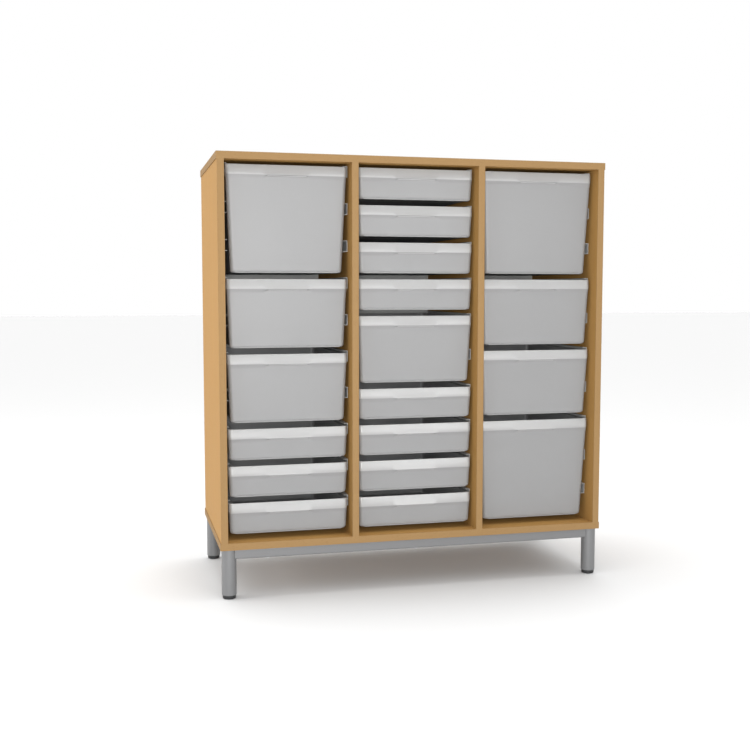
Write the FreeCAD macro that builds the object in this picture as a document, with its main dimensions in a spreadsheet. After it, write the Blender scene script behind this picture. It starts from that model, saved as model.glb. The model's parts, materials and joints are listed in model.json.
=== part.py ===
"""Classroom tray storage unit: a three-bay wooden carcass on a steel leg frame, with sliding trays.

Millimetres. +Z is up, the front faces -Y, and the origin is on the floor under the middle of the unit.
"""
import FreeCAD, Part
import math
import os
import re
import Sketcher

doc = FreeCAD.newDocument("TrayUnit")

# ---------------------------------------------------------------- driving dimensions
SIZES = [
    ("bayWidth", 323, "clear width between two upright boards"),
    ("board", 18, "thickness of the carcass boards"),
    ("carcassDepth", 457, "front of the edging to the rear of the carcass"),
    ("edging", 2, "thickness of the edging strips"),
    ("edgingRound", 1.6, "rounding of the strips' front corners"),
    ("overhang", 2, "top and base past the side boards, each end"),
    ("backBoard", 8, "thickness of the back board"),
    ("rows", 10, "runner positions in each bay"),
    ("pitch", 95.6, "height from one runner position to the next"),
    ("rimGap", 9, "top board to the lip of the highest tray"),
    ("trayGap", 16, "bottom of a tray to the lip of the tray below"),
    ("fitGap", 0.05, "radial clearance of pegs, dowels and screws in their holes"),
    ("seatGap", 0.3, "running clearance under a tray's skirt"),
    ("runnerDepth", 12, "runner, out from the board"),
    ("runnerHeight", 29, "runner, top to bottom"),
    ("runnerWall", 1.5, "runner's wall"),
    ("runnerDrop", -5, "tray's lip down to the top of its runner, which stands above the lip"),
    ("runnerFrontGap", 2.5, "back of a tray's wide front to the runner's front end"),
    ("runnerBackGap", 2, "runner's rear end to the back board"),
    ("pegDiameter", 5, "peg moulded on the runner"),
    ("pegLength", 7.5, "peg, out from the runner's back"),
    ("pegInset", 40, "runner's end to its peg"),
    ("traySideGap", 5.5, "tray's rims to the upright boards, each side"),
    ("trayRearGap", 5, "tray's rear rim to the back board"),
    ("traySetback", 26, "carcass front to the tray's lip"),
    ("trayWall", 2.4, "tray's wall and floor"),
    ("draft", 0.045, "lean of a tray's walls, inward per unit of depth"),
    ("rimDrop", 1.5, "lip's top to the top of the side rims"),
    ("rimReach", 8.5, "side and rear rims, out from the tray's walls"),
    ("lipReach", 4.5, "lip, out from the tray's face"),
    ("lipHeight", 25, "lip, top to lower edge"),
    ("faceDepth", 20, "depth of the wide front of a tray at its top, lip included"),
    ("faceCorner", 10, "rounding of the face's upright corners"),
    ("bodyCorner", 14, "rounding of the tray's rear corners"),
    ("floorBevel", 5, "bevel round the tray's floor"),
    ("dowelDiameter", 8, "dowel"),
    ("dowelLength", 30, "dowel"),
    ("dowelInBoard", 11, "dowel's end in the top and base boards"),
    ("dowelInset", 50, "board's edge to the nearest dowel"),
    ("legDiameter", 38, "leg tube"),
    ("legWall", 2, "leg tube's wall"),
    ("legLength", 118, "leg tube"),
    ("legInset", 21, "carcass faces to the leg's axis"),
    ("footDiameter", 28.5, "foot below the tube"),
    ("footHeight", 10, "foot below the tube"),
    ("footRound", 3, "rounding of the foot's lower edge"),
    ("plugHeight", 18, "foot's plug inside the tube"),
    ("railSize", 25, "square frame rail"),
    ("railWall", 1.5, "frame rail's wall"),
    ("screwDiameter", 5, "frame screw"),
    ("screwHead", 9.5, "frame screw's head"),
    ("headHeight", 3, "frame screw's head"),
    ("screwBite", 12, "frame screw, into the base board"),
    ("screwInset", 100, "leg's axis to the nearest frame screw"),
    ("backScrew", 4, "back board's screw"),
    ("backScrewHead", 8, "back board's screw, across its countersunk head"),
    ("backScrewLength", 30, "back board's screw"),
    ("backScrewInset", 110, "back board's lower and upper edges to the nearest screws"),
]

sheet = doc.addObject("Spreadsheet::Sheet", "Sheet")
for line, (name, value, note) in enumerate(SIZES, start=1):
    sheet.set(f"A{line}", name)
    sheet.set(f"B{line}", str(value))
    sheet.set(f"C{line}", note)
    sheet.setAlias(f"B{line}", name)
doc.recompute()

# sizes worked out from the driving dimensions
innerHeight = "(rimGap + rows * pitch)"
column = "(bayWidth + board)"
carcassWidth = "(3 * bayWidth + 4 * board)"
levelWidth = f"({carcassWidth} + 2 * overhang)"
sideCentre = "(1.5 * bayWidth + 1.5 * board)"
partitionCentre = "(bayWidth / 2 + board / 2)"
underside = "(footHeight + legLength)"
baseTop = f"({underside} + board)"
topUnderside = f"({baseTop} + {innerHeight})"
front = "(-carcassDepth / 2)"
boardFront = f"({front} + edging)"
boardDepth = "(carcassDepth - edging)"
trayWidth = "(bayWidth - 2 * traySideGap)"
trayLength = "(carcassDepth - backBoard - traySetback - trayRearGap)"
# the wide front leans back with its depth, past the runners' front ends once it is narrow enough
runnerStart = "(traySetback + faceDepth + runnerDepth - traySideGap + runnerFrontGap)"
runnerLength = f"(carcassDepth - backBoard - runnerBackGap - {runnerStart})"
legX = f"({carcassWidth} / 2 - legInset)"
legY = "(carcassDepth / 2 - legInset)"
dowelInUpright = "(dowelLength - dowelInBoard)"

BAYS = {"left": -1, "middle": 0, "right": 1}
# kinds of tray, in the order of the runner positions that they take up: one, two and three
KINDS = ["shallow", "deep", "extra_deep"]
# the trays in each bay, from the top down
LAYOUT = {
    "left": "extra_deep deep deep shallow shallow shallow",
    "middle": "shallow shallow shallow shallow deep shallow shallow shallow shallow",
    "right": "extra_deep deep deep extra_deep",
}

subparts = []


# ---------------------------------------------------------------- helpers
def size(text):
    """An expression on the sheet's cells, from plain names."""
    return re.sub(r"[a-z][A-Za-z]+", lambda match: "Sheet." + match.group(), str(text))


def value(text):
    return float(sheet.evalExpression(size(text)))


def newBody(label, master=False):
    body = doc.addObject("PartDesign::Body", label)
    if not master:
        subparts.append(body)
    return body


def place(item, x="0", y="0", z="0", turn=0):
    """Put a sub-part at its place, turned about the upright axis."""
    item.Placement = FreeCAD.Placement(FreeCAD.Vector(), FreeCAD.Rotation(FreeCAD.Vector(0, 0, 1), turn))
    for axis, text in zip("xyz", (x, y, z)):
        item.setExpression(f"Placement.Base.{axis}", size(text))


def copyOf(master, label, x="0", y="0", z="0", turn=0):
    """Another piece of the same kind, at its own place."""
    copy = doc.addObject("Part::Compound", label)
    copy.Links = [master]
    place(copy, x, y, z, turn)
    subparts.append(copy)
    return copy


def newSketch(body, plane, lift="0"):
    """A sketch on one of the body's own origin planes, lifted along the plane's normal."""
    sketch = body.newObject("Sketcher::SketchObject", "Sketch")
    origin = next(item for item in body.Origin.OriginFeatures if item.Role == plane)
    sketch.AttachmentSupport = [(origin, "")]
    sketch.MapMode = "FlatFace"
    sketch.setExpression("AttachmentOffset.Base.z", size(lift))
    return sketch


def bind(sketch, constraint, text):
    """Add a dimension and tie it to the sheet."""
    index = sketch.addConstraint(constraint)
    sketch.setExpression(f"Constraints[{index}]", size(text))


def outline(sketch, left, right, low, high, radius=None, rounded=()):
    """A closed rectangle. The corners named in rounded (0 to 3, anticlockwise from low left) are arcs."""
    edges = [value(low), value(right), value(high), value(left)]
    corners = [(edges[3], edges[0]), (edges[1], edges[0]), (edges[1], edges[2]), (edges[3], edges[2])]
    inward = [(1, 1), (-1, 1), (-1, -1), (1, -1)]
    bend = value(radius) if rounded else 0
    vector = FreeCAD.Vector
    starts, ends, arcs = [], [], {}
    for number, ((x, y), (sx, sy)) in enumerate(zip(corners, inward)):
        reach = bend if number in rounded else 0
        along = vector(x + sx * reach, y, 0)
        across = vector(x, y + sy * reach, 0)
        starts.append(along if number in (0, 2) else across)
        ends.append(across if number in (0, 2) else along)
    first = sketch.GeometryCount
    for number in range(4):
        sketch.addGeometry(Part.LineSegment(starts[number], ends[(number + 1) % 4]))
    for number in rounded:
        x, y = corners[number]
        sx, sy = inward[number]
        centre = vector(x + sx * bend, y + sy * bend, 0)
        angle = math.pi + number * math.pi / 2
        circle = Part.Circle(centre, vector(0, 0, 1), bend)
        arcs[number] = sketch.addGeometry(Part.ArcOfCircle(circle, angle, angle + math.pi / 2))
    for number in range(4):
        before = first + (number - 1) % 4
        after = first + number
        if number in arcs:
            sketch.addConstraint(Sketcher.Constraint("Tangent", before, 2, arcs[number], 1))
            sketch.addConstraint(Sketcher.Constraint("Tangent", arcs[number], 2, after, 1))
        else:
            sketch.addConstraint(Sketcher.Constraint("Coincident", before, 2, after, 1))
        sketch.addConstraint(Sketcher.Constraint("Vertical" if number % 2 else "Horizontal", after))
    for number in rounded:
        bind(sketch, Sketcher.Constraint("Radius", arcs[number], bend), radius)
    bind(sketch, Sketcher.Constraint("DistanceY", -1, 1, first, 1, edges[0]), low)
    bind(sketch, Sketcher.Constraint("DistanceX", -1, 1, first + 1, 1, edges[1]), right)
    bind(sketch, Sketcher.Constraint("DistanceY", -1, 1, first + 2, 1, edges[2]), high)
    bind(sketch, Sketcher.Constraint("DistanceX", -1, 1, first + 3, 1, edges[3]), left)


def polygon(sketch, corners):
    """A closed outline through corners given as pairs of expressions."""
    points = [FreeCAD.Vector(value(x), value(y), 0) for x, y in corners]
    first = sketch.GeometryCount
    for number, point in enumerate(points):
        sketch.addGeometry(Part.LineSegment(point, points[(number + 1) % len(points)]))
    for number, (x, y) in enumerate(corners):
        before = first + (number - 1) % len(corners)
        line = first + number
        sketch.addConstraint(Sketcher.Constraint("Coincident", before, 2, line, 1))
        bind(sketch, Sketcher.Constraint("DistanceX", -1, 1, line, 1, points[number].x), x)
        bind(sketch, Sketcher.Constraint("DistanceY", -1, 1, line, 1, points[number].y), y)


def disc(sketch, x, y, diameter):
    centre = FreeCAD.Vector(value(x), value(y), 0)
    index = sketch.addGeometry(Part.Circle(centre, FreeCAD.Vector(0, 0, 1), value(diameter) / 2))
    bind(sketch, Sketcher.Constraint("DistanceX", -1, 1, index, 3, centre.x), x)
    bind(sketch, Sketcher.Constraint("DistanceY", -1, 1, index, 3, centre.y), y)
    bind(sketch, Sketcher.Constraint("Diameter", index, value(diameter)), diameter)


def extrude(body, kind, sketch, length, backwards=False, taper=0):
    """A Pad or a Pocket of a sketch. The taper is in degrees, negative where it narrows."""
    feature = body.newObject(f"PartDesign::{kind}", kind)
    feature.Profile = sketch
    feature.setExpression("Length", size(length))
    feature.Reversed = backwards
    feature.TaperAngle = taper
    return feature


def loft(body, kind, sections):
    """An AdditiveLoft or a SubtractiveLoft through sketches, straight from one to the next."""
    feature = body.newObject(f"PartDesign::{kind}", kind)
    feature.Profile = sections[0]
    feature.Sections = sections[1:]
    feature.Ruled = True
    return feature


def repeat(body, features, sketch, axis, length, count, backwards=False):
    """Copies of features in a straight row, along an axis of a sketch."""
    pattern = body.newObject("PartDesign::LinearPattern", "LinearPattern")
    pattern.Originals = features
    pattern.Direction = (sketch, [axis])
    pattern.Reversed = backwards
    pattern.setExpression("Length", size(length))
    pattern.setExpression("Occurrences", size(count))
    body.Tip = pattern
    return pattern


# ---------------------------------------------------------------- carcass boards
dowelRows = ["dowelInset", f"({boardDepth} - backBoard) / 2", f"{boardDepth} - backBoard - dowelInset"]
uprightCentres = [f"-{sideCentre}", f"-{partitionCentre}", partitionCentre, sideCentre]
dowelHole = "(dowelDiameter + 2 * fitGap)"
backScrewRows = 4
backScrewStep = f"({innerHeight} - 2 * backScrewInset) / {backScrewRows - 1}"
backScrewHeights = [f"backScrewInset + {row} * {backScrewStep}" for row in range(backScrewRows)]


def makeUpright(label, centre, depth, holesLeft, holesRight, backScrews=False):
    """An upright board with dowel holes in its ends, peg holes in its faces and screw holes in its rear."""
    body = newBody(label)
    flat = newSketch(body, "XY_Plane")
    outline(flat, "-board / 2", "board / 2", "0", depth)
    extrude(body, "Pad", flat, innerHeight)
    for lift, backwards in (("0", True), (innerHeight, False)):
        ends = newSketch(body, "XY_Plane", lift)
        for along in dowelRows:
            disc(ends, "0", along, dowelHole)
        extrude(body, "Pocket", ends, f"{dowelInUpright} + fitGap", backwards)
    for wanted, lift, backwards in ((holesRight, "board / 2", False), (holesLeft, "-board / 2", True)):
        if not wanted:
            continue
        pegs = newSketch(body, "YZ_Plane", lift)
        highest = f"{innerHeight} - rimGap - runnerDrop - runnerHeight / 2"
        for along in ("pegInset", f"{runnerLength} - pegInset"):
            disc(pegs, f"{runnerStart} - edging + {along}", highest, "pegDiameter + 2 * fitGap")
        holes = extrude(body, "Pocket", pegs, "pegLength + fitGap", backwards)
        repeat(body, [holes], pegs, "V_Axis", "(rows - 1) * pitch", "rows", True)
    if backScrews:
        rear = newSketch(body, "XZ_Plane", f"-({depth})")
        for up in backScrewHeights:
            disc(rear, "0", up, "backScrew + 2 * fitGap")
        extrude(body, "Pocket", rear, "backScrewLength - backBoard + fitGap", True)
    place(body, centre, boardFront, baseTop)


def makeLevelBoard(label, height, dowelsUp):
    """The top or the base board, with blind holes for the uprights' dowels."""
    body = newBody(label)
    flat = newSketch(body, "XY_Plane")
    outline(flat, f"-{levelWidth} / 2 + edging", f"{levelWidth} / 2 - edging", "0", boardDepth)
    extrude(body, "Pad", flat, "board")
    holes = newSketch(body, "XY_Plane", "board" if dowelsUp else "0")
    for across in uprightCentres:
        for along in dowelRows:
            disc(holes, across, along, dowelHole)
    extrude(body, "Pocket", holes, "dowelInBoard + fitGap", not dowelsUp)
    place(body, "0", boardFront, height)
    return body


def makeEndedEdging(label, height):
    """A strip round the front and both ends of a level board."""
    body = newBody(label)
    outer = newSketch(body, "XY_Plane")
    outline(outer, f"-{levelWidth} / 2", f"{levelWidth} / 2", "0", "carcassDepth", "edgingRound", (0, 1))
    extrude(body, "Pad", outer, "board")
    inner = newSketch(body, "XY_Plane", "board")
    outline(inner, f"-{levelWidth} / 2 + edging", f"{levelWidth} / 2 - edging", "edging", "carcassDepth + edging")
    extrude(body, "Pocket", inner, "board")
    place(body, "0", front, height)


def makeUprightEdging(label, centre):
    """A strip on the front of an upright board, rounded along both front corners."""
    body = newBody(label)
    flat = newSketch(body, "XY_Plane")
    outline(flat, "-board / 2", "board / 2", "0", "edging", "edgingRound", (0, 1))
    extrude(body, "Pad", flat, innerHeight)
    place(body, centre, front, baseTop)


makeLevelBoard("top_board", topUnderside, False)
baseBoard = makeLevelBoard("base_board", underside, True)
makeUpright("left_side_board", f"-{sideCentre}", boardDepth, False, True)
makeUpright("left_partition", f"-{partitionCentre}", f"{boardDepth} - backBoard", True, True, True)
makeUpright("right_partition", partitionCentre, f"{boardDepth} - backBoard", True, True, True)
makeUpright("right_side_board", sideCentre, boardDepth, True, False)
makeEndedEdging("top_edging", topUnderside)
makeEndedEdging("base_edging", underside)
makeUprightEdging("left_side_edging", f"-{sideCentre}")
makeUprightEdging("left_partition_edging", f"-{partitionCentre}")
makeUprightEdging("right_partition_edging", partitionCentre)
makeUprightEdging("right_side_edging", sideCentre)


# ---------------------------------------------------------------- back board and its screws
headDepth = "((backScrewHead - backScrew) / 2)"


def makeBackBoard():
    """The back, let in flush between the sides, the top and the base, with countersunk screw holes."""
    body = newBody("back_board")
    flat = newSketch(body, "XZ_Plane")
    outline(flat, "-1.5 * bayWidth - board", "1.5 * bayWidth + board", "0", innerHeight)
    extrude(body, "Pad", flat, "backBoard")
    wide = newSketch(body, "XZ_Plane")
    through = newSketch(body, "XZ_Plane")
    for across in (f"-{partitionCentre}", partitionCentre):
        for up in backScrewHeights:
            disc(wide, across, up, "backScrewHead + 2 * fitGap")
            disc(through, across, up, "backScrew + 2 * fitGap")
    extrude(body, "Pocket", wide, headDepth, True, -45)
    extrude(body, "Pocket", through, "backBoard", True)
    place(body, "0", "carcassDepth / 2", baseTop)


def makeBackScrews():
    """Countersunk screws through the back board into the partitions."""
    body = newBody("back_screws")
    heads = newSketch(body, "XZ_Plane")
    shanks = newSketch(body, "XZ_Plane")
    for across in (f"-{partitionCentre}", partitionCentre):
        for up in backScrewHeights:
            disc(heads, across, up, "backScrewHead")
            disc(shanks, across, up, "backScrew")
    extrude(body, "Pad", heads, headDepth, False, -45)
    extrude(body, "Pad", shanks, "backScrewLength")
    place(body, "0", "carcassDepth / 2", baseTop)


makeBackBoard()
makeBackScrews()


# ---------------------------------------------------------------- dowels
def makeDowels():
    """Every dowel of the carcass: three at each end of each upright board."""
    body = newBody("dowels")
    level = newSketch(body, "XY_Plane", "-dowelInBoard")
    for across in uprightCentres:
        for along in dowelRows:
            disc(level, across, along, "dowelDiameter")
    extrude(body, "Pad", level, "dowelLength")
    level = newSketch(body, "XY_Plane", f"{innerHeight} - {dowelInUpright}")
    for across in uprightCentres:
        for along in dowelRows:
            disc(level, across, along, "dowelDiameter")
    extrude(body, "Pad", level, "dowelLength")
    place(body, "0", boardFront, baseTop)


makeDowels()


# ---------------------------------------------------------------- runners
def makeRunnerColumn():
    """One board face's runners: open channels with two pegs each on their backs."""
    body = newBody("runner_column", master=True)
    profile = newSketch(body, "XZ_Plane")
    polygon(profile, [
        ("0", "0"), ("0", "-runnerHeight"), ("runnerDepth", "-runnerHeight"),
        ("runnerDepth", "-runnerHeight + runnerWall"), ("runnerWall", "-runnerHeight + runnerWall"),
        ("runnerWall", "-runnerWall"), ("runnerDepth", "-runnerWall"), ("runnerDepth", "0"),
    ])
    channel = extrude(body, "Pad", profile, runnerLength, True)
    pegs = newSketch(body, "YZ_Plane")
    for along in ("pegInset", f"{runnerLength} - pegInset"):
        disc(pegs, along, "-runnerHeight / 2", "pegDiameter")
    stems = extrude(body, "Pad", pegs, "pegLength", True)
    repeat(body, [channel, stems], profile, "V_Axis", "(rows - 1) * pitch", "rows", True)
    return body


runnerColumn = makeRunnerColumn()
runnerTop = f"{topUnderside} - rimGap - runnerDrop"
for bay, placeInRow in BAYS.items():
    bayCentre = f"{placeInRow} * {column}"
    copyOf(runnerColumn, f"{bay}_bay_left_runners", f"{bayCentre} - bayWidth / 2",
           f"{front} + {runnerStart}", runnerTop)
    copyOf(runnerColumn, f"{bay}_bay_right_runners", f"{bayCentre} + bayWidth / 2",
           f"{front} + {runnerStart} + {runnerLength}", runnerTop, 180)


# ---------------------------------------------------------------- trays
def positionsTaken(kind):
    return KINDS.index(kind) + 1


def makeTray(kind):
    """A moulded tray that hangs by its rims. The lip's top front edge is at the origin, the floor is below."""
    body = newBody(f"{kind}_tray", master=True)
    height = f"({positionsTaken(kind)} * pitch - trayGap)"
    half = f"{trayWidth} / 2"
    wallHalf = f"({trayWidth} / 2 - rimReach)"
    wallRear = f"({trayLength} - rimReach)"

    def section(depth, halfWidth, near, far, radius, rounded, inset="0"):
        """An outline at a depth below the lip, its front and sides leaning in by the draft."""
        lean = f"draft * {depth}"
        side = f"({halfWidth} - {lean} - {inset})"
        sketch = newSketch(body, "XY_Plane", f"-{depth}")
        outline(sketch, f"-{side}", side, f"{near} + {lean} + {inset}",
                far.format(lean=lean, inset=inset), radius, rounded)
        return sketch

    def tapered(loftKind, top, bottom, halfWidth, near, far, radius, rounded):
        """A box that narrows downwards, with a bevel round its floor."""
        shoulder = f"({bottom} - floorBevel)"
        sections = [
            section(top, halfWidth, near, far, radius, rounded),
            section(shoulder, halfWidth, near, far, radius, rounded),
            section(f"({bottom})", halfWidth, near, far, radius, rounded, "floorBevel"),
        ]
        return loft(body, loftKind, sections)

    # rims: a shallow lid shape, hollow from below
    rims = newSketch(body, "XY_Plane", "-rimDrop")
    outline(rims, f"-{half}", half, "faceDepth - trayWall", trayLength, "bodyCorner", (2, 3))
    skirt = "(runnerDrop + runnerHeight - runnerWall - seatGap - rimDrop)"
    extrude(body, "Pad", rims, skirt, True)
    hollow = newSketch(body, "XY_Plane", f"-rimDrop - {skirt}")
    outline(hollow, f"-({half} - trayWall)", f"{half} - trayWall", "faceDepth - 2 * trayWall",
            f"{trayLength} - trayWall", "bodyCorner - trayWall", (2, 3))
    extrude(body, "Pocket", hollow, f"{skirt} - trayWall", True)

    # face and lip: the wide front, open to the rear behind its two corners
    tapered("AdditiveLoft", "0", height, half, "lipReach", "faceDepth + {lean}", "faceCorner", (0, 1))
    lip = newSketch(body, "XY_Plane")
    outline(lip, f"-{half}", half, "0", "lipReach + faceCorner", "faceCorner", (0, 1))
    extrude(body, "Pad", lip, "lipHeight", True)
    tapered("SubtractiveLoft", "trayWall", f"({height} - trayWall)", f"({half} - trayWall)",
            "(lipReach + trayWall)", "faceDepth + trayWall + {lean}", "faceCorner - trayWall", (0, 1))

    # box: the walls and floor that pass between the runners
    tapered("AdditiveLoft", "trayWall / 2", height, wallHalf, "(lipReach + trayWall / 2)",
            wallRear + " - {lean} - {inset}", "bodyCorner", (2, 3))
    above = newSketch(body, "XY_Plane")
    outline(above, f"-{half}", half, "faceDepth", trayLength)
    extrude(body, "Pocket", above, "rimDrop")
    tapered("SubtractiveLoft", "0", f"({height} - trayWall)", f"({wallHalf} - trayWall)",
            "(lipReach + trayWall)", f"{wallRear} - trayWall - {{lean}} - {{inset}}",
            "bodyCorner - trayWall", (2, 3))

    # finger pull: a slot up into the lip from below
    under = newSketch(body, "XY_Plane", "-lipHeight")
    outline(under, f"-({half} - faceCorner)", f"{half} - faceCorner", "trayWall", "lipReach")
    extrude(body, "Pocket", under, "lipHeight - trayWall", True)
    return body


trayMasters = {kind: makeTray(kind) for kind in KINDS}
for bay, placeInRow in BAYS.items():
    position = 0
    for number, kind in enumerate(LAYOUT[bay].split(), start=1):
        copyOf(trayMasters[kind], f"{bay}_{kind}_tray_{number}", f"{placeInRow} * {column}",
               f"{front} + traySetback", f"{topUnderside} - rimGap - {position} * pitch")
        position += positionsTaken(kind)


# ---------------------------------------------------------------- leg frame
def makeLeg():
    """A round steel tube."""
    body = newBody("leg", master=True)
    ring = newSketch(body, "XY_Plane")
    disc(ring, "0", "0", "legDiameter")
    disc(ring, "0", "0", "legDiameter - 2 * legWall")
    extrude(body, "Pad", ring, "legLength")
    return body


def makeFoot():
    """A plastic foot: a round pad below the tube and a plug inside it."""
    body = newBody("foot", master=True)
    half = newSketch(body, "XZ_Plane")
    outline(half, "0", "footDiameter / 2", "0", "footHeight", "footRound", (1,))
    pad = body.newObject("PartDesign::Revolution", "Revolution")
    pad.Profile = half
    pad.ReferenceAxis = (half, ["V_Axis"])
    plug = newSketch(body, "XY_Plane", "footHeight")
    disc(plug, "0", "0", "legDiameter - 2 * legWall - 2 * fitGap")
    extrude(body, "Pad", plug, "plugHeight")
    return body


def makeRail(label, length, screws):
    """A square tube between two legs, its ends cut to fit round them."""
    body = newBody(label)
    square = newSketch(body, "YZ_Plane")
    outline(square, "-railSize / 2", "railSize / 2", "-railSize", "0")
    outline(square, "-railSize / 2 + railWall", "railSize / 2 - railWall", "-railSize + railWall", "-railWall")
    extrude(body, "Pad", square, length)
    cuts = newSketch(body, "XY_Plane")
    for end in ("0", length):
        disc(cuts, end, "0", "legDiameter + 2 * fitGap")
    for along in screws:
        disc(cuts, along, "0", "screwDiameter + 2 * fitGap")
    extrude(body, "Pocket", cuts, "railSize")
    return body


leg = makeLeg()
foot = makeFoot()
for name, across, along in (("front_left", "-", "-"), ("front_right", "", "-"),
                            ("rear_left", "-", ""), ("rear_right", "", "")):
    copyOf(leg, f"{name}_leg", f"{across}{legX}", f"{along}{legY}", "footHeight")
    copyOf(foot, f"{name}_foot", f"{across}{legX}", f"{along}{legY}")

longScrews = ["screwInset", legX, f"2 * {legX} - screwInset"]
shortScrews = ["screwInset", f"2 * {legY} - screwInset"]
place(makeRail("front_rail", f"2 * {legX}", longScrews), f"-{legX}", f"-{legY}", underside)
place(makeRail("rear_rail", f"2 * {legX}", longScrews), f"-{legX}", legY, underside)
place(makeRail("left_rail", f"2 * {legY}", shortScrews), f"-{legX}", f"-{legY}", underside, 90)
place(makeRail("right_rail", f"2 * {legY}", shortScrews), legX, f"-{legY}", underside, 90)

screwPlaces = [(f"{text} - {legX}", f"{sign}{legY}") for text in longScrews for sign in ("-", "")]
screwPlaces += [(f"{sign}{legX}", f"{text} - {legY}") for text in shortScrews for sign in ("-", "")]


def makeFrameScrews():
    """Screws up through the rails into the base board."""
    body = newBody("frame_screws")
    heads = newSketch(body, "XY_Plane", "-railSize - headHeight")
    shanks = newSketch(body, "XY_Plane", "-railSize - headHeight / 2")
    for x, y in screwPlaces:
        disc(heads, x, y, "screwHead")
        disc(shanks, x, y, "screwDiameter")
    extrude(body, "Pad", heads, "headHeight")
    extrude(body, "Pad", shanks, "railSize + headHeight / 2 + screwBite")
    place(body, "0", "0", underside)


makeFrameScrews()
pilots = newSketch(baseBoard, "XY_Plane")
for x, y in screwPlaces:
    disc(pilots, x, f"{y} - {boardFront}", "screwDiameter + 2 * fitGap")
extrude(baseBoard, "Pocket", pilots, "screwBite + fitGap", True)


# ---------------------------------------------------------------- check and export
doc.recompute()
for item in doc.Objects:
    if "Invalid" in item.State or "Error" in item.State:
        raise RuntimeError(f"{item.Label} failed: {item.State}")
for item in subparts:
    if item.Shape.isNull() or not item.Shape.isValid() or not item.Shape.Solids:
        raise RuntimeError(f"{item.Label} has no valid solid")

os.makedirs("parts", exist_ok=True)
for item in subparts:
    item.Shape.exportStep(f"parts/{item.Label}.step")
    print(f"{item.Label:32s} {len(item.Shape.Solids):3d} solids {item.Shape.Volume / 1000:10.1f} cm3")
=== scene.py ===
import bmesh
import bpy
import json
import math
from contextlib import contextmanager
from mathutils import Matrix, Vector

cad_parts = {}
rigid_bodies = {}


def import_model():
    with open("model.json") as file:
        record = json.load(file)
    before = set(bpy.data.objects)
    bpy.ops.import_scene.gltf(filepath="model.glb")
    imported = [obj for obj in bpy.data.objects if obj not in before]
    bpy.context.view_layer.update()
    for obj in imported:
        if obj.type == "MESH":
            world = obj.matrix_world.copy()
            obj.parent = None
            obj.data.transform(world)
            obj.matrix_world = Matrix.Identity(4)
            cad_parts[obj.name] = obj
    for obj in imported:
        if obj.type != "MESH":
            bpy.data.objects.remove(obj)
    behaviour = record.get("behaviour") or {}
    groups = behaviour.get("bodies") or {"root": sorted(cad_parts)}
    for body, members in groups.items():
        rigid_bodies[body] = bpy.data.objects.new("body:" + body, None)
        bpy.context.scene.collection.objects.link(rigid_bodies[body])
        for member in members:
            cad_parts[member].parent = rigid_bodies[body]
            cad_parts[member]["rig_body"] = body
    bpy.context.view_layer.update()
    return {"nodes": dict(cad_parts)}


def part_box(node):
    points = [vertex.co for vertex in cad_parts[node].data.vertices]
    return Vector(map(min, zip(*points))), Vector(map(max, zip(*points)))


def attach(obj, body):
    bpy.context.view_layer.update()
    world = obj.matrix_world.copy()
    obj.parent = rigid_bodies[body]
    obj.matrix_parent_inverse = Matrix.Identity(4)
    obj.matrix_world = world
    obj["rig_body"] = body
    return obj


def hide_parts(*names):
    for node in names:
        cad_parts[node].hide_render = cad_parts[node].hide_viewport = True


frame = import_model()
nodes = frame["nodes"]
print("frame loaded:", len(nodes), "nodes")

bayNames = ("left", "middle", "right")
tiny = 0.00005                      # points this near a plane count as in it
straight = 0.9                      # directions with more than this along an axis count as along it
crosswise = 0.1                     # and with less than this as across it
sharpAngle = math.radians(40)       # edges sharper than this are rounded and not shaded smooth


# selecting and shaping

def selectOnly(piece):
    bpy.ops.object.select_all(action="DESELECT")
    piece.select_set(True)
    bpy.context.view_layer.objects.active = piece


@contextmanager
def editing(piece):
    selectOnly(piece)
    bpy.ops.object.mode_set(mode="EDIT")
    yield
    bpy.ops.object.mode_set(mode="OBJECT")


def pick(piece, kind, wanted):
    # selects the faces, edges or vertices of a piece whose middle and direction are wanted
    bpy.ops.mesh.select_mode(type=kind)
    bpy.ops.mesh.select_all(action="DESELECT")
    mesh = bmesh.from_edit_mesh(piece.data)
    mesh.normal_update()
    if kind == "FACE":
        found = [face for face in mesh.faces if wanted(face.calc_center_median(), face.normal)]
    elif kind == "EDGE":
        found = [edge for edge in mesh.edges if wanted(*middleAndWay(edge))]
    else:
        found = [corner for corner in mesh.verts if wanted(corner.co, corner.normal)]
    for part in found:
        part.select_set(True)
    bmesh.update_edit_mesh(piece.data)


def middleAndWay(edge):
    start, end = (corner.co for corner in edge.verts)
    return (start + end) / 2, (end - start).normalized()


def settle(name):
    # names the new primitive and moves its place into its mesh
    piece = bpy.context.object
    piece.name = piece.data.name = name
    bpy.ops.object.transform_apply(location=True, rotation=True, scale=True)
    return piece


def addBox(name, low, high):
    bpy.ops.object.select_all(action="DESELECT")
    middle = [(a + b) / 2 for a, b in zip(low, high)]
    span = [b - a for a, b in zip(low, high)]
    bpy.ops.mesh.primitive_cube_add(size=1, location=middle, scale=span)
    return settle(name)


def addDrum(name, middle, radius, low, high, sides=64):
    bpy.ops.object.select_all(action="DESELECT")
    bpy.ops.mesh.primitive_cylinder_add(vertices=sides, radius=radius, depth=high - low,
                                        location=(middle[0], middle[1], (low + high) / 2))
    return settle(name)


def rounding(piece, radius, steps, wanted):
    pick(piece, "EDGE", wanted)
    bpy.ops.mesh.bevel(offset=radius, segments=steps, affect="EDGES")


def applyModifier(piece, kind, **settings):
    selectOnly(piece)
    modifier = piece.modifiers.new(kind.title(), kind)
    for name, choice in settings.items():
        setattr(modifier, name, choice)
    bpy.ops.object.modifier_apply(modifier=modifier.name)


def thicken(piece, wall):
    applyModifier(piece, "SOLIDIFY", thickness=wall, offset=-1, use_even_offset=True)


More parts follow.
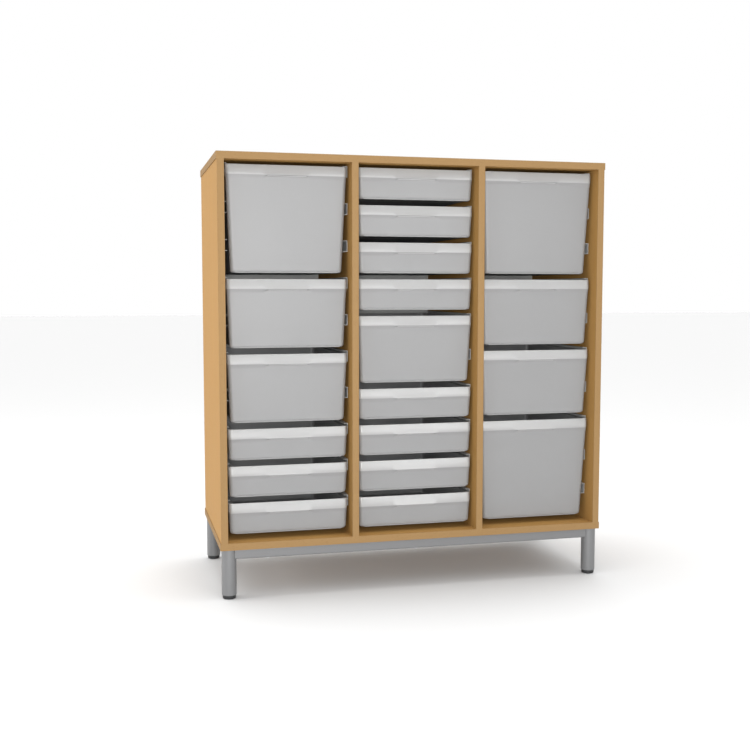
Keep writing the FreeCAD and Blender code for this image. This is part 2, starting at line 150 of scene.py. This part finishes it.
def softenEdges(piece, width):
    # the bevels are clamped, so a piece with short edges gets narrower ones than asked for
    applyModifier(piece, "BEVEL", width=width, segments=2, limit_method="ANGLE",
                  angle_limit=sharpAngle, use_clamp_overlap=True)


def combine(piece, other, operation):
    # joins another closed piece to this one, or cuts it out
    applyModifier(piece, "BOOLEAN", object=other, operation=operation, solver="MANIFOLD")
    bpy.data.objects.remove(other)


def smoothShading(piece):
    selectOnly(piece)
    bpy.ops.object.shade_smooth_by_angle(angle=sharpAngle)
    applyModifier(piece, "WEIGHTED_NORMAL", keep_sharp=True, weight=80)


def copyTo(master, name, place):
    piece = master.copy()
    piece.data = master.data.copy()
    piece.name = piece.data.name = name
    bpy.context.collection.objects.link(piece)
    piece.location = place
    selectOnly(piece)
    bpy.ops.object.transform_apply(location=True, rotation=True, scale=True)
    return piece


# shader sums

class Signal:
    def __init__(self, finish, socket):
        self.finish = finish
        self.socket = socket

    def sum(self, operation, first, second):
        return self.finish.node("ShaderNodeMath", {"operation": operation}, {0: first, 1: second})

    def __add__(self, other):
        return self.sum("ADD", self, other)

    def __radd__(self, other):
        return self.sum("ADD", other, self)

    def __sub__(self, other):
        return self.sum("SUBTRACT", self, other)

    def __mul__(self, other):
        return self.sum("MULTIPLY", self, other)


class Finish:
    def __init__(self, name, **constants):
        self.material = bpy.data.materials.new(name)
        self.material.use_nodes = True
        self.tree = self.material.node_tree
        self.tree.nodes.clear()
        self.shader = self.tree.nodes.new("ShaderNodeBsdfPrincipled")
        output = self.tree.nodes.new("ShaderNodeOutputMaterial")
        self.tree.links.new(self.shader.outputs[0], output.inputs["Surface"])
        for socket, number in constants.items():
            self.shader.inputs[socket.replace("_", " ")].default_value = number

    def node(self, kind, settings=None, inputs=None, output=0):
        made = self.tree.nodes.new(kind)
        for name, choice in (settings or {}).items():
            setattr(made, name, choice)
        for name, given in (inputs or {}).items():
            if isinstance(given, Signal):
                self.tree.links.new(given.socket, made.inputs[name])
            else:
                made.inputs[name].default_value = given
        return Signal(self, made.outputs[output])

    def feed(self, socket, signal):
        self.tree.links.new(signal.socket, self.shader.inputs[socket])

    def noise(self, scale, stretch=(1, 1, 1), detail=3, roughness=0.5):
        # noise with so many grains to the metre, stretched along an axis by a number under 1
        place = self.node("ShaderNodeTexCoord", output="Object")
        fitted = self.node("ShaderNodeMapping", {}, {"Vector": place, "Scale": stretch})
        return self.node("ShaderNodeTexNoise", {}, {
            "Vector": fitted, "Scale": scale, "Detail": detail, "Roughness": roughness})

    def blend(self, share, first, second):
        # a mix of two colours, which are the node's inputs 6 and 7 and its output 2
        return self.node("ShaderNodeMix", {"data_type": "RGBA"}, {
            "Factor": share, 6: first, 7: second}, output=2)

    def relief(self, height, strength, distance):
        self.feed("Normal", self.node("ShaderNodeBump", {}, {
            "Strength": strength, "Distance": distance, "Height": height}))


# finishes

beech = {
    "pale": (0.358, 0.202, 0.066, 1),
    "mid": (0.316, 0.172, 0.053, 1),
    "fleck": (0.232, 0.115, 0.033, 1),
}
beechEdging = {
    "pale": (0.252, 0.157, 0.070, 1),
    "mid": (0.224, 0.136, 0.058, 1),
    "fleck": (0.170, 0.093, 0.036, 1),
}
grain = {
    "along": 0.05,          # how much the grain is drawn out along the board
    "dashAlong": 0.16,
    "bands": 26,            # to the metre
    "fibres": 520,
    "dashes": 900,
    "bandShare": 0.7,
    "fleckStart": 0.62,     # flecks show where the dashes' noise is above this
    "fleckEnd": 0.72,
    "fleckShare": 0.35,
    "roughness": 0.52,
    "roughnessRange": 0.14,
}


def makeBeech(name, axis, tones):
    # grain runs along one axis of the board: 0 across the unit, 1 front to rear, 2 up
    finish = Finish(name, Specular_IOR_Level=0.15, IOR=1.3)
    stretch = [1, 1, 1]
    stretch[axis] = grain["along"]
    bands = finish.noise(grain["bands"], stretch, detail=4, roughness=0.55)
    fibres = finish.noise(grain["fibres"], stretch, detail=2, roughness=0.6)
    stretch[axis] = grain["dashAlong"]
    dashes = finish.noise(grain["dashes"], stretch, detail=1)
    share = bands * grain["bandShare"] + fibres * (1 - grain["bandShare"])
    wood = finish.blend(share, tones["mid"], tones["pale"])
    spots = finish.node("ShaderNodeMapRange", {}, {
        "Value": dashes, "From Min": grain["fleckStart"], "From Max": grain["fleckEnd"],
        "To Max": grain["fleckShare"]})
    finish.feed("Base Color", finish.blend(spots, wood, tones["fleck"]))
    finish.feed("Roughness", grain["roughness"] + fibres * grain["roughnessRange"])
    finish.relief(fibres - spots, 0.10, 0.0004)
    return finish.material


plastic = {
    "trayTone": (0.222, 0.222, 0.223),
    # painted highlight: the lip's lighter copy of the tray plastic stands in for light catching the
    # upturned lip
    "lipPaintedHighlightTone": (0.312, 0.312, 0.310),
    "glow": 0.5,            # how much light passes through the trays' walls
    "runnerTone": (0.36, 0.36, 0.35),
    "footTone": (0.012, 0.012, 0.013),
    "trayRoughness": 0.42,
    "lipRoughness": 0.30,
    "runnerRoughness": 0.42,
    "footRoughness": 0.55,
    "darker": 0.965,        # the darkest cloud's share of the tone
    "scuffRange": 0.10,
}


def makePlastic(name, tone, roughness, glow=0.0):
    finish = Finish(name, Specular_IOR_Level=0.45, Subsurface_Weight=glow,
                    Subsurface_Radius=(1, 1, 1), Subsurface_Scale=0.006)
    clouds = finish.noise(7, detail=2)
    texture = finish.noise(1500, detail=2)
    scuffs = finish.noise(90, (1, 1, 0.2), detail=5, roughness=0.7)
    darker = tuple(part * plastic["darker"] for part in tone) + (1,)
    finish.feed("Base Color", finish.blend(clouds * 0.8 + texture * 0.2, darker, tone + (1,)))
    finish.feed("Roughness", roughness - plastic["scuffRange"] / 2 + scuffs * plastic["scuffRange"])
    finish.relief(texture, 0.06, 0.0002)
    return finish.material


metal = {
    "coatTone": (0.150, 0.151, 0.153),
    "sparkle": 1.10,        # the lightest grain's share of the tone
    "zincDark": (0.52, 0.53, 0.55, 1),
    "zincLight": (0.68, 0.69, 0.70, 1),
}
laminate = {
    "dark": (0.50, 0.50, 0.49, 1),
    "light": (0.54, 0.54, 0.53, 1),
}


def makePowderCoat(name, tone):
    finish = Finish(name, Metallic=0.3, Specular_IOR_Level=0.5)
    peel = finish.noise(420, detail=2)
    sparkle = finish.noise(2600, detail=1)
    lighter = tuple(min(1, part * metal["sparkle"]) for part in tone) + (1,)
    finish.feed("Base Color", finish.blend(sparkle, tone + (1,), lighter))
    finish.feed("Roughness", 0.34 + peel * 0.12)
    finish.relief(peel, 0.14, 0.0004)
    return finish.material


def makeZinc(name):
    finish = Finish(name, Metallic=1.0)
    haze = finish.noise(350, detail=4)
    finish.feed("Base Color", finish.blend(haze, metal["zincDark"], metal["zincLight"]))
    finish.feed("Roughness", 0.28 + haze * 0.2)
    return finish.material


def makeBackLaminate(name):
    finish = Finish(name, Specular_IOR_Level=0.4)
    cloth = finish.noise(700, detail=3)
    clouds = finish.noise(5, detail=2)
    finish.feed("Base Color", finish.blend(clouds, laminate["dark"], laminate["light"]))
    finish.feed("Roughness", 0.5 + cloth * 0.12)
    finish.relief(cloth, 0.08, 0.0003)
    return finish.material


uprightBeech = makeBeech("beech_upright", 2, beech)
levelBeech = makeBeech("beech_level", 0, beech)
uprightEdge = makeBeech("beech_edging_upright", 2, beechEdging)
levelEdge = makeBeech("beech_edging_level", 0, beechEdging)
dowelWood = makeBeech("dowel_beech", 2, beech)
trayPlastic = makePlastic("tray_plastic", plastic["trayTone"], plastic["trayRoughness"],
                          plastic["glow"])
# the lip's material is a lighter copy of the tray plastic: a painted highlight
lipPaintedHighlight = makePlastic("tray_lip_painted_highlight", plastic["lipPaintedHighlightTone"], plastic["lipRoughness"],
                         plastic["glow"])
runnerPlastic = makePlastic("runner_plastic", plastic["runnerTone"], plastic["runnerRoughness"])
footPlastic = makePlastic("foot_plastic", plastic["footTone"], plastic["footRoughness"])
silverCoat = makePowderCoat("silver_powder_coat", metal["coatTone"])
zinc = makeZinc("zinc_plate")
backLaminate = makeBackLaminate("back_laminate")
print("finishes made")


# boards, edging, back and dowels stay as they are and take a finish

nodeFinishes = {
    "top_board": levelBeech, "base_board": levelBeech,
    "left_side_board": uprightBeech, "right_side_board": uprightBeech,
    "left_partition": uprightBeech, "right_partition": uprightBeech,
    "top_edging": levelEdge, "base_edging": levelEdge,
    "left_side_edging": uprightEdge, "right_side_edging": uprightEdge,
    "left_partition_edging": uprightEdge, "right_partition_edging": uprightEdge,
    "back_board": backLaminate, "dowels": dowelWood,
    "back_screws": zinc, "frame_screws": zinc,
}
for name, material in nodeFinishes.items():
    node = nodes[name]
    if not node.material_slots:
        node.data.materials.append(material)
    for slot in node.material_slots:
        slot.material = material
print("boards finished")


# trays

tray = {
    "reach": 0.0085,        # side and rear rims, out from the walls
    "rimDrop": 0.0015,      # top of the lip to the top of the side rims
    "rimStart": 0.016,      # the rims begin behind the front's rounded corners
    "skirt": 0.0207,
    "wall": 0.0024,
    "lean": 0.045,          # of the walls, for each metre of depth
    "face": 0.0042,         # how far the face's upper edge lies behind the tray's front
    "lip": (                # height below the top, and how far behind the front
        (0.000, 0.0066), (0.008, 0.0048), (0.017, 0.0034), (0.022, 0.0030), (0.025, 0.0033),
        (0.029, 0.0044), (0.037, 0.0059)),
    "lipDepth": 0.0255,     # the smooth band along the top of the front, painted lighter as a painted highlight
    "lipBehind": 0.008,     # how far behind the face that band reaches
    "lipFacing": 0.3,       # faces that look further to the rear than this aren't in it
    "grip": ((0.017, 0.0030), (0.022, 0.0010), (0.025, 0.0005), (0.029, 0.0055)),
    "gripHalf": 0.052,      # the middle of the lip, where fingers pull, stands a little forward
    "gripBlend": 0.012,
    "slotLow": (-0.050, 0.0023, -0.034),
    "slotHigh": (0.050, 0.0045, -0.0205),
    "faceRear": 0.020,
    "faceCorner": 0.010,
    "rearCorner": 0.014,
    "floorRound": 0.007,
    "panLift": 0.0002,      # the pan's floor, above the front's lower edge
    "rimShort": 0.0001,     # the rims stay this far inside the tray's width
    "linePoints": 0.012,    # the front's points before this take the lip's shape
    "faceEdges": 0.018,     # its edges before this are its front corners
    "cavityEdges": 0.022,
    "cavityPast": 0.020,    # how far the cavity runs on behind the front
    "edge": 0.0003,
    "shortest": 0.0001,     # shorter edges are dissolved before the edges are rounded
    "flattest": 0.5,        # and so are the edges between faces that differ by fewer degrees
}
hollow = {                  # the opening behind the lip, cut out of the pan and the front
    "sideGap": 0.0004,
    "frontGap": 0.0006,
    "past": 0.010,
    "bottom": -0.028,
    "top": 0.010,
    "lean": 0.0016,
}
cheek = {                   # a thin wedge inside each side wall
    "sink": 0.0002,
    "frontGap": 0.0004,
    "past": 0.006,
    "bottom": -0.012,
    "top": -0.0007,
    "slope": 0.009,
}


def narrow(piece, low, high, sides, front, rear):
    # draws the bottom of a box in at its sides, front and rear
    moves = (
        (lambda at: at.x < low[0] + tiny, (sides, 0, 0)),
        (lambda at: at.x > high[0] - tiny, (-sides, 0, 0)),
        (lambda at: at.y < low[1] + tiny, (0, front, 0)),
        (lambda at: at.y > high[1] - tiny, (0, -rear, 0)),
    )
    for wanted, move in moves:
        pick(piece, "VERT", lambda at, way: at.z < low[2] + tiny and wanted(at))
        bpy.ops.transform.translate(value=move)


def isUpright(way):
    return abs(way.z) > straight


def cutAcross(piece, point, normal):
    # divides the faces that a plane crosses
    bpy.ops.mesh.select_all(action="SELECT")
    bpy.ops.mesh.bisect(plane_co=point, plane_no=normal)


def makePan(half, rear, height):
    # the box that holds things, with its rims; its front ends lie inside the front's wall
    wall = tray["wall"]
    low = (-half, tray["face"] + wall / 2, -height + tray["panLift"])
    high = (half, rear, -tray["rimDrop"] - wall)
    lean = (high[2] - low[2]) * tray["lean"]
    pan = addBox("pan", low, high)
    with editing(pan):
        narrow(pan, low, high, lean, lean, lean)
        pick(pan, "FACE", lambda at, way: way.z > straight or way.y < -straight)
        bpy.ops.mesh.delete(type="FACE")
        rounding(pan, tray["rearCorner"], 6, lambda at, way: isUpright(way) and at.y > rear / 2)
        rounding(pan, tray["floorRound"], 5,
                 lambda at, way: at.z < low[2] + tiny and at.y > low[1] + lean + tiny)
        cutAcross(pan, (0, tray["rimStart"], 0), (0, 1, 0))
        pick(pan, "EDGE", lambda at, way: at.z > high[2] - tiny and at.y > tray["rimStart"] + tiny)
        bpy.ops.mesh.extrude_region_move()
        span = rear - tray["rimStart"]
        out = tray["reach"] - wall - tray["rimShort"]
        bpy.ops.transform.resize(value=((half + out) / half, (span + out) / span, 1),
                                 center_override=(0, tray["rimStart"], high[2]))
        bpy.ops.mesh.extrude_region_move(
            TRANSFORM_OT_translate={"value": (0, 0, wall - tray["skirt"])})
    thicken(pan, wall)
    return pan


def makeFront(half, height):
    # lip and face in one piece, hollow and open behind, so that it wraps the tray's front corners
    low = (-half, tray["face"], -height)
    high = (half, tray["faceRear"], 0)
    lean = height * tray["lean"]
    blend = tray["gripHalf"] + tray["gripBlend"]
    front = addBox("front", low, high)
    with editing(front):
        narrow(front, low, high, lean, lean, -lean)
        for depth, _ in tray["lip"][1:]:
            cutAcross(front, (0, 0, -depth), (0, 0, 1))
        for depth, place in tray["lip"]:
            moveLine(front, -depth, place, half)
        rounding(front, tray["faceCorner"], 8,
                 lambda at, way: isUpright(way) and at.y < tray["faceEdges"])
        rounding(front, tray["floorRound"], 5,
                 lambda at, way: at.z < low[2] + tiny and at.y < tray["faceEdges"] + lean)
        for place in (-blend, -tray["gripHalf"], tray["gripHalf"], blend):
            cutAcross(front, (place, 0, 0), (1, 0, 0))
        for depth, place in tray["grip"]:
            moveLine(front, -depth, place, tray["gripHalf"])
    combine(front, makeCavity(half, height), "DIFFERENCE")
    combine(front, addBox("slot", tray["slotLow"], tray["slotHigh"]), "DIFFERENCE")
    return front


def moveLine(piece, level, place, reach):
    # brings the front's points at one height to a place front to rear
    pick(piece, "VERT", lambda at, way: abs(at.z - level) < tiny and at.y < tray["linePoints"]
         and abs(at.x) < reach + tiny)
    found = [corner.co.y for corner in bmesh.from_edit_mesh(piece.data).verts if corner.select]
    bpy.ops.transform.translate(value=(0, place - min(found), 0))


def makeCavity(half, height):
    # what is left out of the front, behind the face and between the side returns
    wall = tray["wall"]
    low = (-half + wall, tray["face"] + wall, -height + wall)
    high = (half - wall, tray["faceRear"] + tray["cavityPast"], -wall)
    lean = (height - 2 * wall) * tray["lean"]
    cavity = addBox("cavity", low, high)
    with editing(cavity):
        narrow(cavity, low, high, lean, lean, 0)
        rounding(cavity, tray["faceCorner"] - wall, 6,
                 lambda at, way: isUpright(way) and at.y < tray["cavityEdges"])
        rounding(cavity, tray["floorRound"] - wall, 4,
                 lambda at, way: at.z < low[2] + tiny and at.y < high[1] - tiny)
    return cavity


def makeCheek(inner, side):
    # closes the step between a side wall's upper edge and the lip's underside
    wall = tray["wall"]
    near, far = sorted((side * (inner + cheek["sink"]), side * (inner + wall - cheek["sink"])))
    low = (near, tray["face"] + wall / 2 + cheek["frontGap"], cheek["bottom"])
    high = (far, tray["faceRear"] + cheek["past"], cheek["top"])
    wedge = addBox("cheek", low, high)
    with editing(wedge):
        pick(wedge, "VERT", lambda at, way: at.z > high[2] - tiny and at.y > high[1] - tiny)
        bpy.ops.transform.translate(value=(0, -cheek["slope"], 0))
    return wedge


def makeHollow(inner):
    # opens the top again, where the pan and the front overlap
    low = (-inner + hollow["sideGap"], tray["face"] + tray["wall"] + hollow["frontGap"],
           hollow["bottom"])
    high = (inner - hollow["sideGap"], tray["faceRear"] + hollow["past"], hollow["top"])
    opening = addBox("hollow", low, high)
    with editing(opening):
        narrow(opening, low, high, hollow["lean"], hollow["lean"], 0)
    return opening


def makeTray(kind, node):
    low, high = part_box(node)
    half = (high.x - low.x) / 2
    height = high.z - low.z
    inner = half - tray["reach"] - tray["wall"]
    piece = makePan(half - tray["reach"], high.y - low.y - tray["reach"], height)
    combine(piece, makeFront(half, height), "UNION")
    combine(piece, makeHollow(inner), "DIFFERENCE")
    for side in (-1, 1):
        combine(piece, makeCheek(inner, side), "UNION")
    with editing(piece):
        bpy.ops.mesh.select_all(action="SELECT")
        bpy.ops.mesh.dissolve_degenerate(threshold=tray["shortest"])
        bpy.ops.mesh.dissolve_limited(angle_limit=math.radians(tray["flattest"]))
        bpy.ops.mesh.dissolve_degenerate(threshold=tray["shortest"])
    softenEdges(piece, tray["edge"])
    smoothShading(piece)
    piece.data.materials.clear()
    piece.data.materials.append(trayPlastic)
    piece.data.materials.append(lipPaintedHighlight)
    # the lip band takes the lighter plastic, a painted highlight where light catches the upturned
    # lip
    with editing(piece):
        pick(piece, "FACE", lambda at, way: at.z > -tray["lipDepth"]
             and at.y < tray["face"] + tray["lipBehind"] and way.y < tray["lipFacing"])
        piece.active_material_index = 1
        bpy.ops.object.material_slot_assign()
    piece.name = kind
    print("tray", kind, "has", len(piece.data.polygons), "faces")
    return piece


trayNodes = [name for name in nodes if "_tray_" in name]
trayKinds = ("extra_deep", "deep", "shallow")


def kindOf(name):
    return next(kind for kind in trayKinds if f"_{kind}_tray_" in name)


masters = {}
for name in sorted(trayNodes):
    kind = kindOf(name)
    if kind not in masters:
        masters[kind] = makeTray(kind, name)
    low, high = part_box(name)
    piece = copyTo(masters[kind], name + "_moulding", ((low.x + high.x) / 2, low.y, high.z))
    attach(piece, nodes[name]["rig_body"])
    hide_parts(name)
for master in masters.values():
    bpy.data.objects.remove(master)
print("trays placed:", len(trayNodes))


# runners

runner = {
    "height": 0.029,
    "depth": 0.012,
    "wall": 0.0015,
    "pitch": 0.0956,
    "rows": 10,
    "frontCut": 0.004,
    "edge": 0.0003,
}


def makeRunners(name):
    low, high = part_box(name)
    facesRight = "_left_runners" in name
    near = high.x - runner["depth"] if facesRight else low.x
    far = near + runner["depth"]
    wallFace = near if facesRight else far
    openWay = 1 if facesRight else -1
    column = addBox(name + "_channels", (near, low.y, high.z - runner["height"]),
                    (far, high.y, high.z))
    with editing(column):
        pick(column, "FACE",
             lambda at, way: way.x * openWay > straight or abs(way.y) > straight)
        bpy.ops.mesh.delete(type="FACE")
        pick(column, "VERT", lambda at, way: abs(at.x - wallFace) > tiny and at.y < low.y + tiny)
        bpy.ops.mesh.bevel(offset=runner["frontCut"], segments=4, affect="VERTICES")
    thicken(column, runner["wall"])
    softenEdges(column, runner["edge"])
    applyModifier(column, "ARRAY", count=runner["rows"], use_relative_offset=False,
                  use_constant_offset=True, constant_offset_displace=(0, 0, -runner["pitch"]))
    smoothShading(column)
    column.data.materials.append(runnerPlastic)
    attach(column, "carcass")
    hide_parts(name)


for bay in bayNames:
    for side in ("left", "right"):
        makeRunners(f"{bay}_bay_{side}_runners")
print("runners placed")


# leg frame

legFrame = {
    "legWall": 0.002,
    "tubeEdge": 0.0006,
    "innerRing": 0.0015,    # edges deeper than this in the tube's wall are its inner rings
    "railCorner": 0.003,
    "railInset": 0.0015,
    "railDish": 0.999,      # the middles of a rail's ends are drawn in to this share of its length
    "footHeight": 0.010,    # of the pad below the tube
    "footRound": 0.003,
    "footNeck": 0.002,
}


def makeLeg(name):
    low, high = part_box(name)
    middle = (low + high) / 2
    radius = (high.x - low.x) / 2

    def fromAxis(at):
        return math.hypot(at.x - middle.x, at.y - middle.y)

    leg = addDrum(name + "_tube", middle, radius, low.z, high.z)
    with editing(leg):
        pick(leg, "FACE", lambda at, way: isUpright(way))
        bpy.ops.mesh.inset(thickness=legFrame["legWall"])
        pick(leg, "FACE", lambda at, way: isUpright(way) and fromAxis(at) < tiny)
        bpy.ops.mesh.delete(type="FACE")
        pick(leg, "EDGE", lambda at, way: abs(way.z) < crosswise
             and fromAxis(at) < radius - legFrame["innerRing"])
        bpy.ops.mesh.bridge_edge_loops()
    softenEdges(leg, legFrame["tubeEdge"])
    finishMetal(leg, name)


def makeRail(name):
    low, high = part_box(name)
    along = 0 if high.x - low.x > high.y - low.y else 1
    rail = addBox(name + "_tube", low, high)
    with editing(rail):
        rounding(rail, legFrame["railCorner"], 5, lambda at, way: abs(way[along]) > straight)
        pick(rail, "FACE", lambda at, way: abs(way[along]) > straight)
        bpy.ops.mesh.inset(thickness=legFrame["railInset"])
        dish = legFrame["railDish"]
        bpy.ops.transform.resize(value=[dish if axis == along else 1 for axis in range(3)])
    finishMetal(rail, name)


def finishMetal(piece, name):
    smoothShading(piece)
    piece.data.materials.append(silverCoat)
    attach(piece, "carcass")
    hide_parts(name)


def makeFoot(name):
    low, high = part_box(name)
    middle = (low + high) / 2
    padTop = low.z + legFrame["footHeight"]
    foot = addDrum(name + "_pad", middle, (high.x - low.x) / 2, low.z, padTop)
    with editing(foot):
        pick(foot, "FACE", lambda at, way: way.z > straight)
        bpy.ops.mesh.inset(thickness=legFrame["footNeck"])
        bpy.ops.mesh.extrude_region_move(
            TRANSFORM_OT_translate={"value": (0, 0, high.z - padTop)})
        rounding(foot, legFrame["footRound"], 5,
                 lambda at, way: at.z < low.z + tiny and abs(way.z) < crosswise)
    smoothShading(foot)
    foot.data.materials.append(footPlastic)
    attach(foot, "carcass")
    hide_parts(name)


for end in ("front", "rear"):
    for side in ("left", "right"):
        makeLeg(f"{end}_{side}_leg")
        makeFoot(f"{end}_{side}_foot")
for name in ("front_rail", "rear_rail", "left_rail", "right_rail"):
    makeRail(name)
print("leg frame placed")


# camera, floor and light

view = {
    "place": (-0.7784, -2.8373, 0.7879),
    "turn": 14.18,      # to the right
    "tilt": 4.67,       # downwards
    "lens": 50,
    "sensor": 36,
}
bpy.ops.object.camera_add(
    location=view["place"],
    rotation=(math.radians(90 - view["tilt"]), 0, -math.radians(view["turn"])))
camera = bpy.context.object
camera.data.lens = view["lens"]
camera.data.sensor_width = view["sensor"]
bpy.context.scene.camera = camera

stage = {
    "floorTone": (0.50, 0.50, 0.50, 1),
    "floorSize": 60,
    "horizon": 1.0,
    "overheadFront": 1.4,   # the sky above is dimmer in front of the unit than behind it
    "overheadRear": 4.2,
    "rise": (0.55, 0.9),    # between these heights the horizon passes into the sky above
    "turn": (-0.4, 0.4),    # and between these places the front passes into the rear
}
lights = {
    "key": {"place": (1.0, -3.7, 1.25), "target": (0, 0, 0.6), "size": (1.2, 0.9), "power": 34},
    "fill": {"place": (-0.81, -2.96, 0.80), "target": (0, 0, 0.6), "size": (0.3, 0.3), "power": 56},
    "top": {"place": (0.1, -0.15, 4.2), "target": (0.1, -0.15, 0), "size": (1.4, 1.4), "power": 40},
    "side": {"place": (-3.8, 0.5, 1.1), "target": (0, 0.1, 0.6), "size": (1.6, 1.6), "power": 70},
}


def makeFloor():
    bpy.ops.object.select_all(action="DESELECT")
    bpy.ops.mesh.primitive_plane_add(size=stage["floorSize"])
    floor = settle("floor")
    finish = Finish("floor_paper", Specular_IOR_Level=0.2)
    finish.shader.inputs["Base Color"].default_value = stage["floorTone"]
    finish.feed("Roughness", 0.75 + finish.noise(300) * 0.1)
    floor.data.materials.append(finish.material)


def addLight(name, place, target, size, power):
    bpy.ops.object.light_add(type="AREA", location=place)
    light = bpy.context.object
    light.name = name
    light.data.shape = "RECTANGLE"
    light.data.size, light.data.size_y = size
    light.data.energy = power
    light.rotation_euler = (Vector(target) - Vector(place)).to_track_quat("-Z", "Y").to_euler()


def addRange(tree, value, span, first):
    # passes from one strength to another over a span of the value; the other is set by the caller
    made = tree.nodes.new("ShaderNodeMapRange")
    for name, number in (("From Min", span[0]), ("From Max", span[1]), ("To Min", first)):
        made.inputs[name].default_value = number
    tree.links.new(value, made.inputs["Value"])
    return made


def makeSky():
    world = bpy.data.worlds.new("studio")
    world.use_nodes = True
    tree = world.node_tree
    direction = tree.nodes.new("ShaderNodeSeparateXYZ")
    generated = tree.nodes.new("ShaderNodeTexCoord").outputs["Generated"]
    tree.links.new(generated, direction.inputs[0])
    overhead = addRange(tree, direction.outputs["Y"], stage["turn"], stage["overheadFront"])
    overhead.inputs["To Max"].default_value = stage["overheadRear"]
    strength = addRange(tree, direction.outputs["Z"], stage["rise"], stage["horizon"])
    tree.links.new(overhead.outputs[0], strength.inputs["To Max"])
    background = tree.nodes["Background"]
    background.inputs["Color"].default_value = (1, 1, 1, 1)
    tree.links.new(strength.outputs[0], background.inputs["Strength"])
    bpy.context.scene.world = world


makeFloor()
for name, settings in lights.items():
    addLight(name, **settings)
makeSky()
bpy.context.scene.view_settings.view_transform = "Standard"
print("studio set")
